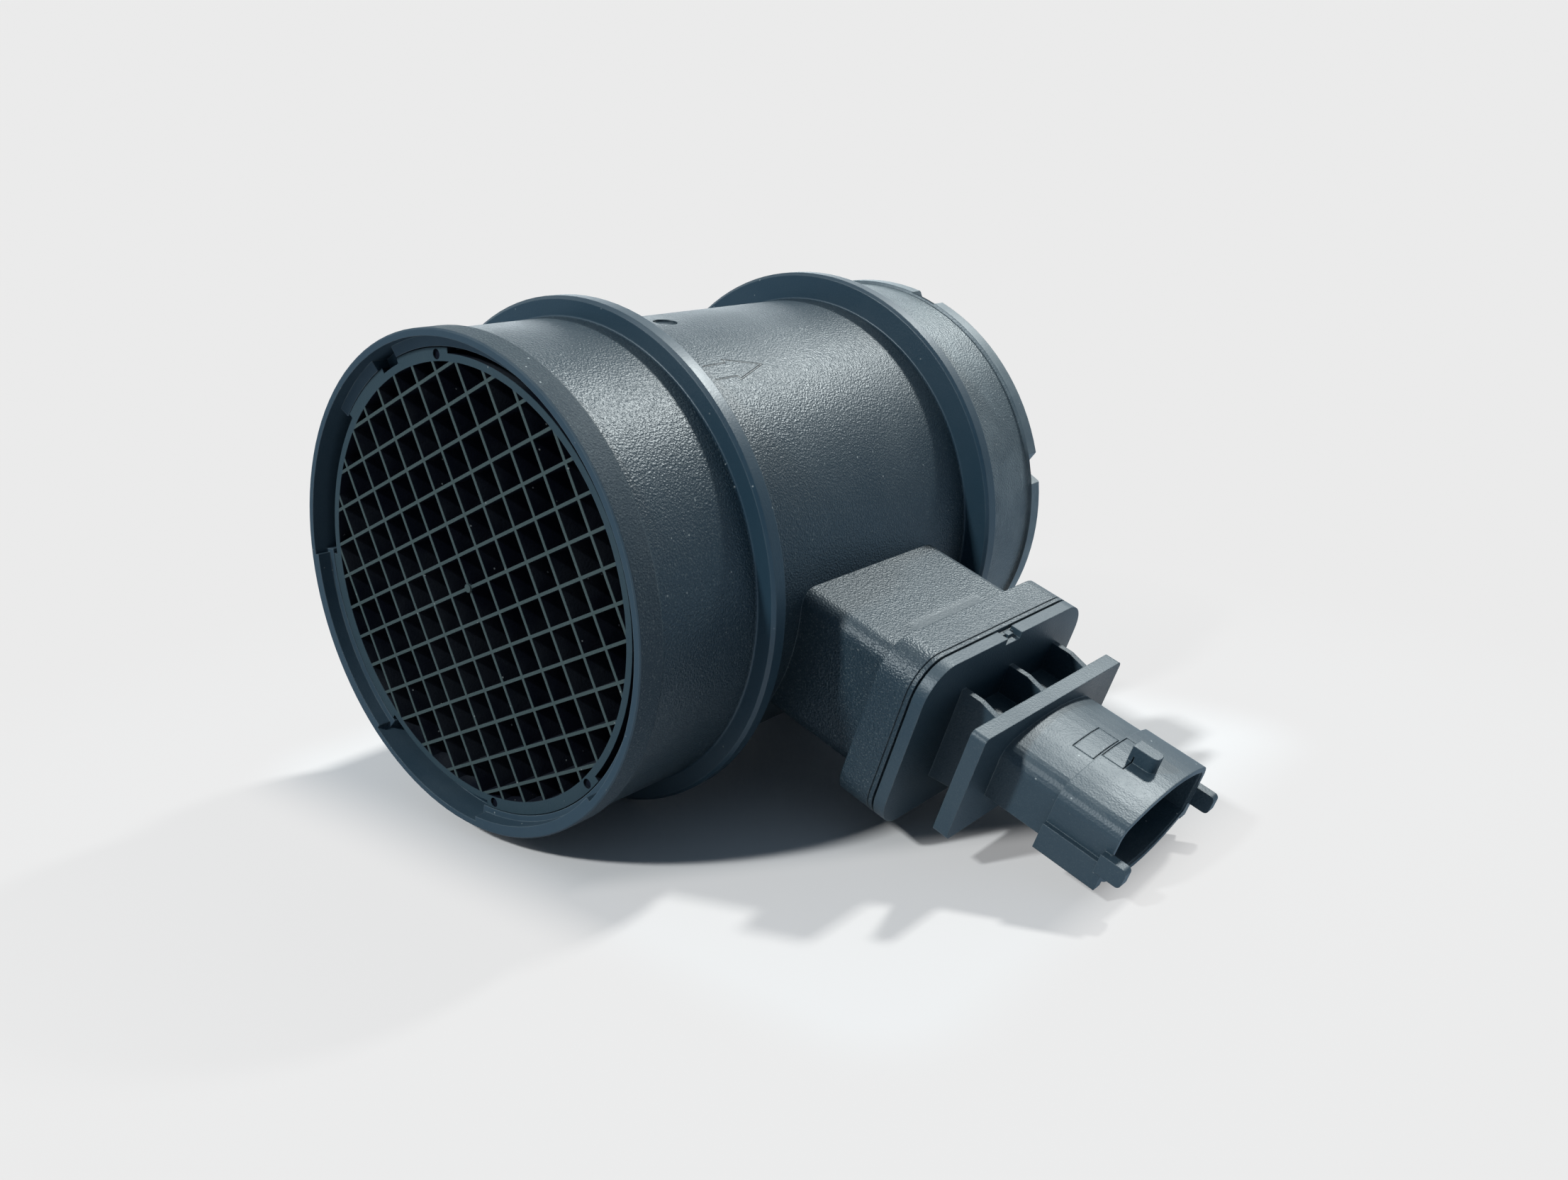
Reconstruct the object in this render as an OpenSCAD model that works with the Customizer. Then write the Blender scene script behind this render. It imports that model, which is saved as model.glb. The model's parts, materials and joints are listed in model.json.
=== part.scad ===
// Hot-film mass airflow sensor: a moulded tube with a hose spigot at each end,
// a flow grid in its inlet and a plug-in sensor on a boss at its side.
// The tube's axis is Y and the centre of the inlet face is the origin.
// The arm points to +X and dips until its connector and both flanges share one rest plane.
// Inside arm(), x runs out along the arm, y along the tube and z across the arm.

/* [Tube] */
// Length of the tube between its end faces
tube_len = 108.7; // [106:0.1:130]
// Outer radius of both hose spigots
spigot_r = 39.8; // [39.2:0.1:40.4]
// Outer radius of the lip on each spigot
lip_r = 40.4; // [40.2:0.1:41.2]
// Width of the inlet lip along the tube
lip_w = 4.9; // [3:0.1:6]
// Chamfer on the outer end edge of each lip
lip_chamfer = 0.2; // [0.1:0.1:0.6]
// Chamfer on the inner edge of the inlet lip
lip_back = 0.4; // [0.1:0.1:0.4]
// Width of the outlet lip along the tube
outlet_lip_w = 3; // [2:0.1:5]
// Length of the ramp that leads up to the outlet lip
lip_ramp = 0.2; // [0.1:0.1:4]
// Outer radius of the barrel between the flanges
barrel_r = 38.2; // [37.6:0.1:39]
// Radius of the duct behind the grid
duct_r = 35.4; // [35.2:0.1:35.8]
// Radius of the duct at the outlet face
outlet_r = 37.4; // [36:0.1:38]
// Length of the widening at the outlet
outlet_flare = 20; // [12:1:24]
// Length of the straight bore behind the widening
outlet_straight = 4; // [2:0.5:8]
// Chamfer of the flanges' edges and fillet behind them
edge_cut = 0.5; // [0.2:0.1:0.8]
// Place along the tube of the round mould mark on the barrel
mark_y = 42.7; // [36:0.1:75]
// Angle of the mould mark above the arm's side
mark_angle = 102.4; // [60:0.1:120]
// Radius of the mould mark
mark_r = 2.1; // [0.8:0.1:3]
// Depth of the mould mark
mark_d = 0.4; // [0.1:0.05:0.6]

/* [Outlet notches] */
// Number of notches round the outlet lip
notch_count = 6; // [2:1:8]
// Angle of the first notch above the arm's side
notch_angle = 29.3; // [10:0.1:40]
// Width of a notch at its floor
notch_w = 2.8; // [1:0.1:5]
// Widening of a notch towards its mouth, on each side
notch_flare = 1.6; // [0:0.1:3]
// Depth of a notch below the lip
notch_d = 1.8; // [0.5:0.1:2]

/* [Flanges] */
// Distance from the inlet face to the first flange
flange_1_y = 25.2; // [23:0.1:27]
// Distance from the inlet face to the second flange
flange_2_y = 85.2; // [83.5:0.1:88]
// Outer radius of both flanges
flange_r = 43.2; // [42.4:0.1:46]
// Thickness of each flange rim
flange_t = 3.2; // [2:0.1:5]
// Radius of the cove at the foot of each flange
cove_r = 0.4; // [0.2:0.1:2.4]

/* [Grid] */
// Depth of the grid's front below the inlet face
grid_y = 2.4; // [1.5:0.1:3.5]
// Length of the grid along the tube
grid_l = 7.6; // [5:0.1:12]
// Inner radius of the grid's ring
grid_inner_r = 35.2; // [34:0.1:35.4]
// Outer radius of the grid's ring between its tabs
grid_ring_r = 36.4; // [36:0.1:36.8]
// Outer radius of the grid's tabs
grid_tab_r = 37.3; // [37:0.1:37.6]
// Thickness of the tabs along the tube
grid_tab_t = 1.6; // [1:0.1:3]
// Spacing of the grid's bars
grid_pitch = 5.3; // [4.6:0.1:8]
// Thickness of one bar
grid_bar = 0.55; // [0.4:0.05:1.2]
// Length of a bar along the tube
grid_bar_l = 6; // [3:0.5:7]
// Inner radius of the ring behind the bars
grid_back_r = 35.4; // [35.3:0.1:35.8]
// Radial gap between a tab and its seat
grid_gap = 0.15; // [0.05:0.05:0.4]
// Radius of the gate mark in the middle of the grid
gate_r = 0.7; // [0.4:0.1:1]
// Rise of the gate mark over the grid's front
gate_h = 0.3; // [0.1:0.1:0.6]
// Radius of the dimples in the grid's tabs
dimple_r = 0.8; // [0.4:0.1:0.9]
// Depth of the dimples
dimple_d = 0.4; // [0.1:0.1:0.6]

/* [Mouth] */
// Radius of the mouth in front of the grid
mouth_r = 39.2; // [38.8:0.1:39.4]
// Inner radius of the two lugs in the mouth
lug_r = 38.4; // [37.6:0.1:38.6]
// Step from the floor of the mouth up to the grid's front
mouth_step = 0.3; // [0.1:0.1:0.6]
// Depth of the pockets behind the tabs
pocket_d = 1; // [0.5:0.1:3]

/* [Boss] */
// Distance from the inlet face to the middle of the boss
arm_y = 57.1; // [54:0.1:58]
// Height of the arm's middle plane over the tube's axis
arm_off = -0.4; // [-2:0.1:2]
// Width of the boss along the tube
boss_w = 38; // [37:0.5:42]
// Height of the boss across the arm
boss_h = 23.4; // [22.8:0.2:26]
// Radius of the boss's long edges
boss_edge_r = 3; // [1:0.1:4]
// Wall of the boss
boss_wall = 2.3; // [1.6:0.1:3]
// Distance from the tube's axis to the back of the boss's flange
boss_flange_x = 56; // [50:0.5:57]
// Distance from the tube's axis to the face of the boss's flange
boss_face_x = 62.6; // [61:0.1:66]
// Width of the boss's flange along the tube
boss_flange_w = 46.4; // [44:0.2:50]
// Height of the boss's flange
boss_flange_h = 30.3; // [28:0.1:34]
// Corner radius of the boss's flange
boss_flange_r = 6; // [4:0.1:8]
// Distance from the flange's face to the fine line round its edge
boss_line_back = 0.9; // [0.5:0.1:3]
// Width and depth of the fine line
boss_line = 0.2; // [0.1:0.05:0.3]

/* [Sensor flange and ribs] */
// Width of the groove between the two flanges
seam_w = 0.4; // [0.2:0.1:0.8]
// Depth of the groove between the two flanges
seam_d = 0.7; // [0.3:0.1:1.5]
// Thickness of the sensor's flange
sensor_flange_t = 2.1; // [1.5:0.1:4]
// Clear distance between the sensor's flange and the second plate
plate_gap = 7.8; // [5:0.1:12]
// Thickness of the second plate
plate_t = 2.7; // [1.5:0.1:4]
// Width of the second plate along the tube
plate_w = 42.5; // [40:0.1:46]
// Height of the second plate
plate_h = 19.3; // [18.6:0.1:22]
// Corner radius of the second plate
plate_r = 1; // [0.4:0.1:3]
// Place of the middle rib along the tube, from the middle of the arm
rib_mid = 2.5; // [-2:0.1:4]
// Spacing of the three ribs
rib_pitch = 13.9; // [8:0.1:14.5]
// Thickness of each rib
rib_t = 1.2; // [0.8:0.1:2]
// Height of the ribs at the sensor's flange, from the middle plane
rib_top = 8.6; // [6:0.1:9]
// Length of the level stretch of the ribs' top
rib_level = 3.5; // [1:0.1:4.5]
// Drop of the ribs' top towards the second plate
rib_drop = 1.2; // [0:0.1:2]
// Half the thickness of the core between the ribs
core_h = 3.2; // [2:0.1:5]
// Width of the notch in the sensor flange's upper edge
flange_notch_w = 4.3; // [2:0.1:6]
// Place of the notch along the tube, from the middle of the arm
flange_notch_y = -0.45; // [-4:0.05:4]
// Depth of the notch
flange_notch_d = 1.2; // [0.5:0.1:2]

/* [Connector] */
// Length of the collar behind the shroud
collar_l = 10.8; // [6:0.1:16]
// Width of the collar
collar_w = 27.4; // [26:0.1:28.4]
// Length of the shroud
shroud_l = 10.9; // [8:0.1:16]
// Width of the shroud
shroud_w = 29.4; // [28.8:0.1:34]
// Height of the shroud's crown over the middle plane
shroud_top = 8; // [7:0.1:9]
// Depth of the shroud's belly under the middle plane
shroud_bottom = 8.2; // [7:0.1:9]
// Radius of the crown's arc
crown_r = 43; // [34:1:80]
// Radius of the belly's arc
belly_r = 27; // [24:1:60]
// Radius of the shroud's shoulders
shoulder_r = 3; // [1:0.1:4]
// Step between the collar and the shroud
collar_step = 0.5; // [0.2:0.1:1]
// Wall of the shroud
shroud_wall = 1.3; // [0.9:0.1:2]
// Depth of the socket inside the shroud
socket_depth = 17; // [12:0.5:18]
// Width of the step round the socket's mouth
socket_step = 0.3; // [0.1:0.1:0.5]
// Length of the guide tongues in front of the shroud
tongue_l = 3.3; // [2:0.1:6]
// Height of the guide tongues
tongue_h = 3.3; // [2:0.1:5]
// Thickness of the guide tongues
tongue_t = 1.8; // [1:0.1:2]
// Height of the tongues' top over the middle plane
tongue_top = 1.2; // [0:0.1:2]
// Length of the tongues' root beside the shroud
tongue_root = 1.2; // [1:0.1:6]
// Radius of the tongues' tips
tongue_r = 0.8; // [0.3:0.1:0.9]
// Height of the rails along the shroud
rail_h = 4.6; // [2:0.1:5]
// Distance from the middle plane down to the rails' top
rail_drop = 0.5; // [0:0.1:1.5]
// Reach of the rails beyond the shroud's side
rail_reach = 1; // [0.5:0.1:2]
// Width of the latch nose
nose_w = 2.7; // [2:0.1:6]
// Length of the latch nose
nose_l = 4.3; // [3:0.1:6]
// Height of the latch nose over the crown
nose_h = 2.6; // [1:0.1:3]
// Radius of the latch nose's front corners
nose_r = 0.9; // [0.3:0.1:1]
// Distance from the shroud's mouth to the latch nose
nose_back = 3.4; // [1:0.1:5]
// Width and depth of the fine lines on the crown
seam_line = 0.2; // [0.1:0.05:0.3]

/* [Contact pins] */
// Spacing of the contact pins
pin_pitch = 4.8; // [3.6:0.1:5.4]
// Width of a contact pin
pin_w = 1.5; // [0.8:0.1:2]
// Thickness of a contact pin
pin_t = 0.64; // [0.5:0.02:0.8]
// Distance from the shroud's mouth to the pin tips
pin_back = 6; // [4:0.5:9]
// Length of a pin that lies open over the board
pin_bare = 3; // [2:0.5:4]

/* [Probe] */
// Clearance round the neck inside the boss
neck_gap = 0.2; // [0.1:0.05:0.5]
// Distance from the tube's axis to the end of the neck
neck_end_x = 40; // [38:0.5:44]
// Width of the probe along the tube
probe_w = 31; // [28:0.5:33]
// Thickness of the probe
probe_t = 12; // [10:0.5:16]
// Reach of the probe's tip beyond the tube's axis
probe_tip = 14; // [10:0.5:20]
// Thickness of the two covers
cover_t = 1.4; // [1:0.1:2]
// Gap round each cover
cover_gap = 0.15; // [0.05:0.05:0.4]
// Width of the ledge that carries each cover
cover_ledge = 1.2; // [0.8:0.1:1.6]
// Wall round the pockets of the probe
probe_wall = 1.6; // [1.2:0.1:2.5]
// Length of the electronics pocket along the arm
board_pocket_l = 23; // [20:0.5:26]
// Floor of the pockets
pocket_floor = 2.2; // [1.5:0.1:3]

/* [Bypass duct] */
// Distance from the tip's end of the duct to its dividing wall
divider_x = 8; // [7:0.1:12]
// Thickness of the dividing wall
divider_t = 1.6; // [1:0.1:2.4]
// Gap between the dividing wall and the duct's far side
divider_gap = 7; // [4:0.5:10]
// Width of the duct's inlet and outlet
port_w = 6; // [4:0.5:6.5]
// Height of the duct's inlet and outlet
port_h = 5; // [3:0.5:6]
// Distance from the middle of the probe to the outlet
outlet_y = 2; // [1:0.5:4]
// Rise of the two ports over the duct's floor
port_rise = 0.6; // [0.2:0.1:1]

/* [Electronics] */
// Thickness of the metal base plate
base_t = 1; // [0.6:0.1:1.5]
// Thickness of the ceramic board
board_t = 0.8; // [0.5:0.1:1.2]
// Length of the board along the arm
board_l = 15; // [12:0.5:18]
// Width of the board along the tube
board_w = 20; // [16:0.5:22]
// Edge length of the control chip
chip_w = 6; // [4:0.5:8]
// Height of the control chip
chip_h = 1.2; // [0.8:0.1:1.6]
// Length of a chip capacitor
cap_l = 2; // [1:0.1:2.4]
// Width of a chip capacitor
cap_w = 1.2; // [0.6:0.1:1.6]
// Height of a chip capacitor
cap_h = 0.9; // [0.5:0.1:1.2]
// Spacing of the chip capacitors
cap_pitch = 3; // [2.6:0.1:3.4]
// Distance from the control chip to the capacitors
cap_gap = 1.9; // [1:0.1:2.4]
// Width of the holder of the sensing chip
holder_w = 5; // [4:0.5:8]
// Height of the holder
holder_h = 2.4; // [1.5:0.1:3]
// Reach of the holder into the bypass duct
holder_reach = 7; // [5.5:0.5:8]
// Reach of the holder into the electronics pocket
holder_tail = 2.2; // [1.6:0.1:3]
// Length of the sensing chip
sense_l = 4; // [2:0.1:4.4]
// Width of the sensing chip
sense_w = 2.4; // [1.2:0.1:3]
// Thickness of the sensing chip
sense_t = 0.5; // [0.3:0.1:0.8]
// Width of a bond wire
bond_w = 0.3; // [0.2:0.05:0.4]
// Rise of the bond wires' loops
bond_rise = 0.6; // [0.5:0.1:1]
// Spacing of the bond wires at the holder
bond_pitch = 1.2; // [0.8:0.1:1.6]
// Radius of the temperature bead
bead_r = 1.6; // [1:0.1:2.2]
// Distance from the probe's leading face to the bead's centre
bead_reach = 4; // [3:0.1:6]
// Radius of a temperature lead
lead_r = 0.3; // [0.2:0.05:0.4]
// Spacing of the temperature leads
lead_pitch = 1.5; // [1:0.1:2.2]
// Depth of the leads' seats in the probe
lead_seat = 2.5; // [1:0.1:2.6]
// Distance from the electronics pocket's inner end to the leads
lead_place = 14; // [8:0.5:18]
// Rise of the leads over the probe's underside
lead_rise = 1; // [0.8:0.1:1.6]

/* [Hidden] */
// Overrun of a cut past a face
over = 1;
// Facets of large and small rounds
round_fn = 96;
small_fn = 32;
plastic = [0.09, 0.11, 0.13];
bond_metal = [0.85, 0.7, 0.3];
// Depth by which one form sinks into the form that carries it
weld = 0.5;
// Clearance round inner parts that are laid in
fit = 0.1;
pin_count = 4;

// Places along the arm
sensor_face_x = boss_face_x + seam_w + sensor_flange_t;
plate_x = sensor_face_x + plate_gap;
collar_x = plate_x + plate_t;
shroud_x = collar_x + collar_l;
mouth_x = shroud_x + shroud_l;
socket_x = mouth_x - socket_depth;
pin_tip_x = mouth_x - pin_back;
pin_root_x = neck_end_x - cover_ledge - pin_bare;
// Dip of the arm that brings the connector down to the flanges' rest plane
tip_drop = shroud_bottom - arm_off;
arm_dip = asin(flange_r / norm([mouth_x, tip_drop])) - atan2(tip_drop, mouth_x);

// Neck and seal
neck_w = boss_w - 2 * boss_wall - 2 * neck_gap;
neck_h = boss_h - 2 * boss_wall - 2 * neck_gap;
neck_r = boss_edge_r * 0.5;
seal_t = 2;
seal_back = 5;
seal_x = boss_face_x - seal_back;
seal_depth = 1.5;
seal_play = 0.4;

// Pockets of the probe
probe_top = probe_t / 2;
floor_z = -probe_top + pocket_floor;
board_pocket_w = probe_w - 2 * probe_wall - 2 * cover_ledge;
board_pocket_x = neck_end_x - cover_ledge - board_pocket_l;
bypass_pocket_x = -probe_tip + probe_wall + cover_ledge;
bypass_pocket_l = board_pocket_x - 2 * cover_ledge - probe_wall - bypass_pocket_x;
base_top = floor_z + base_t;
board_top = base_top + board_t;
pin_z = 0;
bypass_end_x = bypass_pocket_x + bypass_pocket_l;
holder_x = bypass_end_x - holder_reach;
holder_end_x = board_pocket_x + holder_tail;
holder_top = floor_z + holder_h;
base_gap = 0.3;
base_x = holder_end_x + base_gap;
base_l = board_pocket_x + board_pocket_l - weld - base_x;
board_x = base_x + 1;
bond_inset = 0.6;

// Start of the boss inside the tube's wall
boss_start_x = duct_r * 0.7;

// Grid
grid_back_y = grid_y + grid_l;
grid_seat_r = grid_tab_r + grid_gap;
grid_weld = 0.4;
tab_root_r = (grid_inner_r + grid_weld + grid_ring_r) / 2;
grid_least = 0.3;
tab_spans = [[111, 131.5], [138.5, 159], [201, 249], [290.5, 338]];
mouth_lugs = [[201, 249], [290, 336]];
mouth_pockets = [[131.5, 140.5], [160, 200], [250, 289]];
dimple_angles = [115.4, 293.3, 334];

// Outlines of two mould inserts, on the collar and on the crown of the shroud
patch_gap = 0.3;
patch_l = 3.7;
patch_w = 8.2;
collar_patch_y = -5.3;
crown_patch_y = -4;
patch_cut = 1.8;
collar_patch = let (x1 = shroud_x - patch_gap, x0 = x1 - patch_l, y0 = collar_patch_y,
  y1 = y0 + patch_w) [[x0, y0], [x1, y0], [x1, y1], [x0, y1]];
crown_patch = let (x0 = shroud_x + patch_gap, x1 = x0 + patch_l, y0 = crown_patch_y,
  y1 = y0 + patch_w)
  [[x0, y0], [x1, y0], [x1, y1 - patch_cut], [x1 - patch_cut, y1], [x0, y1]];

// Turns the whole part about the tube's axis so that the arm dips
module dipped() {
  rotate([0, arm_dip, 0]) children();
}

// Frame of the arm
module arm() {
  dipped() translate([0, arm_y, arm_off]) children();
}

// Solid of revolution about the tube's axis from [radius, place] points
module turned(points, fn = round_fn) {
  rotate([-90, 0, 0]) rotate_extrude($fn = fn) polygon(points);
}

// Quarter arc of a cove, as [radius, place] points
function cove(r0, y0, start, end, steps = 6) =
  [for (i = [0:steps]) let (a = start + (end - start) * i / steps)
    [r0 + cove_r * cos(a), y0 + cove_r * sin(a)]];

// Flat rectangle with round corners, drawn in the y-z plane of the arm
module rounded(w, h, r) {
  square([w - 2 * r, h], center = true);
  square([w, h - 2 * r], center = true);
  for (sy = [-1, 1], sz = [-1, 1])
    translate([sy * (w / 2 - r), sz * (h / 2 - r)]) circle(r = r, $fn = small_fn);
}

// Plate across the arm from x0 to x1, its outline drawn as [y, z]
module across(x0, x1) {
  translate([x0, 0, 0]) rotate([90, 0, 90]) linear_extrude(height = x1 - x0) children();
}

// Ring sector between two angles, thick from y0 to y1 along the tube
module sector(r, a0, a1, y0, y1) {
  steps = 6;
  reach = r / cos((a1 - a0) / steps / 2);
  translate([0, y0, 0]) rotate([-90, 0, 0]) mirror([0, 1, 0]) linear_extrude(height = y1 - y0)
    intersection() {
      circle(r = r, $fn = round_fn);
      polygon(concat([[0, 0]], [for (i = [0:steps]) let (a = a0 + (a1 - a0) * i / steps)
        2 * reach * [cos(a), sin(a)]]));
    }
}

// Rim of a flange at y0 with a chamfer on each edge and a fillet down to radius r behind it
function flange_rim(y0, r) = [[flange_r - edge_cut, y0], [flange_r, y0 + edge_cut],
  [flange_r, y0 + flange_t - edge_cut], [flange_r - edge_cut, y0 + flange_t],
  [r + edge_cut, y0 + flange_t], [r, y0 + flange_t + edge_cut]];

// Outer profile of the tube from inlet to outlet
function tube_outline() = concat(
  [[lip_r - lip_chamfer, 0], [lip_r, lip_chamfer], [lip_r, lip_w - lip_back],
   [lip_r - lip_back, lip_w], [spigot_r, lip_w + lip_back]],
  cove(spigot_r + cove_r, flange_1_y - cove_r, 180, 90),
  flange_rim(flange_1_y, barrel_r),
  cove(barrel_r + cove_r, flange_2_y - cove_r, 180, 90),
  flange_rim(flange_2_y, spigot_r),
  [[spigot_r, tube_len - outlet_lip_w - lip_ramp], [lip_r, tube_len - outlet_lip_w],
   [lip_r, tube_len - lip_chamfer], [lip_r - lip_chamfer, tube_len]]);

// Inner profile of the tube from outlet to inlet
function tube_bore() = [
  [outlet_r, tube_len], [outlet_r, tube_len - outlet_straight],
  [duct_r, tube_len - outlet_straight - outlet_flare],
  [duct_r, grid_back_y], [grid_seat_r, grid_back_y], [grid_seat_r, grid_y],
  [mouth_r, grid_y - mouth_step], [mouth_r, 0]];

// Tube, flanges and boss, moulded in one
module tube_housing() {
  color(plastic) dipped() difference() {
    union() {
      turned(concat(tube_outline(), tube_bore()));
      difference() {
        boss();
        turned([[0, 0], [duct_r + weld, 0], [duct_r + weld, tube_len], [0, tube_len]]);
      }
      for (p = mouth_lugs) difference() {
        sector(mouth_r + weld, p[0], p[1], 0, grid_y);
        turned([[0, -over], [lug_r, -over], [lug_r, grid_y + over], [0, grid_y + over]]);
      }
    }
    translate([0, arm_y, arm_off]) across(boss_start_x, boss_face_x + over)
      rounded(boss_w - 2 * boss_wall, boss_h - 2 * boss_wall, neck_r + neck_gap);
    for (p = mouth_pockets) sector(mouth_r, p[0], p[1], -over, grid_y + grid_tab_t + pocket_d);
    outlet_notches();
    mould_mark();
  }
}

// Boss on the tube's side with its flange and the fine line round the flange's edge
module boss() {
  translate([0, arm_y, arm_off]) difference() {
    union() {
      across(boss_start_x, boss_flange_x + over) rounded(boss_w, boss_h, boss_edge_r);
      across(boss_flange_x, boss_face_x) rounded(boss_flange_w, boss_flange_h, boss_flange_r);
    }
    difference() {
      x0 = boss_face_x - boss_line_back;
      across(x0, x0 + boss_line) square([boss_flange_w + over, boss_flange_h + over], center = true);
      across(x0 - over, x0 + over) rounded(boss_flange_w - 2 * boss_line,
        boss_flange_h - 2 * boss_line, boss_flange_r - boss_line);
    }
  }
}

// Notches with sloped ends in the outlet lip
module outlet_notches() {
  floor_r = lip_r - notch_d;
  wide = notch_w / 2 + notch_flare * (notch_d + over) / notch_d;
  for (i = [0:notch_count - 1]) rotate([0, -notch_angle - i * 360 / notch_count, 0])
    translate([0, tube_len - outlet_lip_w, 0]) rotate([-90, 0, 0])
      linear_extrude(height = outlet_lip_w + over)
        polygon([[floor_r, -notch_w / 2], [lip_r + over, -wide], [lip_r + over, wide],
          [floor_r, notch_w / 2]]);
}

// Shallow round mark of an ejector in the barrel
module mould_mark() {
  rotate([0, -mark_angle, 0]) translate([barrel_r - mark_d, mark_y, 0]) rotate([0, 90, 0])
    cylinder(r = mark_r, h = mark_d + over, $fn = small_fn);
}

// Openings between the bars, at 45 degrees to the arm, cut short by the ring
module grid_openings() {
  rows = floor(grid_inner_r / grid_pitch);
  side = grid_pitch - grid_bar;
  near = [for (i = [-rows - 1:rows]) i < 0 ? -(i + 1) * grid_pitch + grid_bar / 2
    : i * grid_pitch + grid_bar / 2];
  intersection() {
    circle(r = grid_inner_r, $fn = round_fn);
    rotate(45) for (i = [-rows - 1:rows], j = [-rows - 1:rows])
      if (norm([near[i + rows + 1], near[j + rows + 1]]) < grid_inner_r - grid_least)
        translate([i * grid_pitch + grid_bar / 2, j * grid_pitch + grid_bar / 2]) square(side);
  }
}

// Flow grid: ring, tabs and lattice in one moulding
module inlet_grid() {
  color([0.16, 0.18, 0.19]) dipped() difference() {
    union() {
      translate([0, grid_y, 0]) rotate([-90, 0, 0]) linear_extrude(height = grid_bar_l)
        difference() {
          circle(r = grid_ring_r, $fn = round_fn);
          grid_openings();
        }
      turned([[grid_back_r, grid_y + grid_bar_l - grid_weld],
        [grid_ring_r, grid_y + grid_bar_l - grid_weld],
        [grid_ring_r, grid_back_y], [grid_back_r, grid_back_y]]);
      for (t = tab_spans) difference() {
        sector(grid_tab_r, t[0], t[1], grid_y, grid_y + grid_tab_t);
        turned([[0, 0], [tab_root_r, 0], [tab_root_r, grid_back_y], [0, grid_back_y]]);
      }
      turned([[0, grid_y - gate_h], [gate_r, grid_y - gate_h], [gate_r, grid_y + weld],
        [0, grid_y + weld]], small_fn);
    }
    for (a = dimple_angles) rotate([0, -a, 0])
      translate([(grid_inner_r + grid_tab_r) / 2, grid_y - over, 0]) rotate([-90, 0, 0])
        cylinder(r = dimple_r, h = over + dimple_d, $fn = small_fn);
  }
}

// Outline of the connector, grown by d: crown and belly arcs between two flat sides
function connector_outline(w, top, bottom, grow = 0, steps = 10) =
  let (hw = w / 2 + grow, t = top + grow, b = bottom + grow, rc = crown_r + grow,
    rb = belly_r + grow, sr = shoulder_r + grow, cc = t - rc,
    sz = cc + sqrt(pow(rc - sr, 2) - pow(hw - sr, 2)), lean = asin((hw - sr) / (rc - sr)),
    bz = -b + rb - sqrt(rb * rb - hw * hw), half = asin(hw / rb))
  concat(
    [for (i = [0:steps]) let (a = lean * (1 - 2 * i / steps)) [rc * sin(a), cc + rc * cos(a)]],
    [for (i = [1:5]) let (a = 90 + lean + (90 - lean) * i / 5)
      [-(hw - sr) + sr * cos(a), sz + sr * sin(a)]],
    [for (i = [0:steps]) let (a = half * (2 * i / steps - 1))
      [rb * sin(a), -b + rb - rb * cos(a)]],
    [for (i = [0:4]) let (a = (90 - lean) * i / 5) [hw - sr + sr * cos(a), sz + sr * sin(a)]]);

// Second plate, collar, shroud, rails, tongues and latch nose
module connector() {
  across(plate_x, collar_x) rounded(plate_w, plate_h, plate_r);
  across(collar_x - weld, shroud_x + weld)
    polygon(connector_outline(collar_w, shroud_top - collar_step, shroud_bottom - collar_step));
  across(shroud_x, mouth_x) polygon(connector_outline(shroud_w, shroud_top, shroud_bottom));
  for (s = [-1, 1]) {
    translate([shroud_x, s * shroud_w / 2 - rail_reach, -rail_drop - rail_h])
      cube([shroud_l, 2 * rail_reach, rail_h]);
    translate([mouth_x, s * (shroud_w / 2 + rail_reach / 2), tongue_top - tongue_h]) guide_tongue();
  }
  latch_nose();
}

// Guide tongue with a rounded tip, from its foot at the shroud's mouth
module guide_tongue() {
  translate([0, tongue_t / 2, 0]) rotate([90, 0, 0]) linear_extrude(height = tongue_t) union() {
    translate([-tongue_root, 0]) square([tongue_root + tongue_l - tongue_r, tongue_h]);
    translate([0, tongue_r]) square([tongue_l, tongue_h - 2 * tongue_r]);
    for (z = [tongue_r, tongue_h - tongue_r])
      translate([tongue_l - tongue_r, z]) circle(r = tongue_r, $fn = small_fn);
  }
}

// Latch nose on the crown, its front corners rounded
module latch_nose() {
  translate([mouth_x - nose_back - nose_l, 0, shroud_top - over])
    linear_extrude(height = nose_h + over) union() {
      translate([0, -nose_w / 2]) square([nose_l - nose_r, nose_w]);
      translate([0, -nose_w / 2 + nose_r]) square([nose_l, nose_w - 2 * nose_r]);
      for (s = [-1, 1]) translate([nose_l - nose_r, s * (nose_w / 2 - nose_r)])
        circle(r = nose_r, $fn = small_fn);
    }
}

// Fine line along the sides of a polygon given as [x, y] points
module line_along(points) {
  for (i = [0:len(points) - 1]) {
    a = points[i];
    b = points[(i + 1) % len(points)];
    translate(a) rotate(atan2(b[1] - a[1], b[0] - a[0]))
      translate([-seam_line / 2, -seam_line / 2]) square([norm(b - a) + seam_line, seam_line]);
  }
}

// Fine lines cut into the crown of the collar and of the shroud
module crown_lines() {
  for (p = [[collar_patch, collar_x, shroud_x, collar_w, collar_step],
            [crown_patch, shroud_x, mouth_x, shroud_w, 0]]) {
    top = shroud_top - p[4];
    bottom = shroud_bottom - p[4];
    intersection() {
      linear_extrude(height = 2 * shroud_top) line_along(p[0]);
      difference() {
        across(p[1], p[2]) polygon(connector_outline(p[3], top, bottom, over));
        across(p[1] - over, p[2] + over) polygon(connector_outline(p[3], top, bottom, -seam_line));
      }
    }
  }
}

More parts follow.
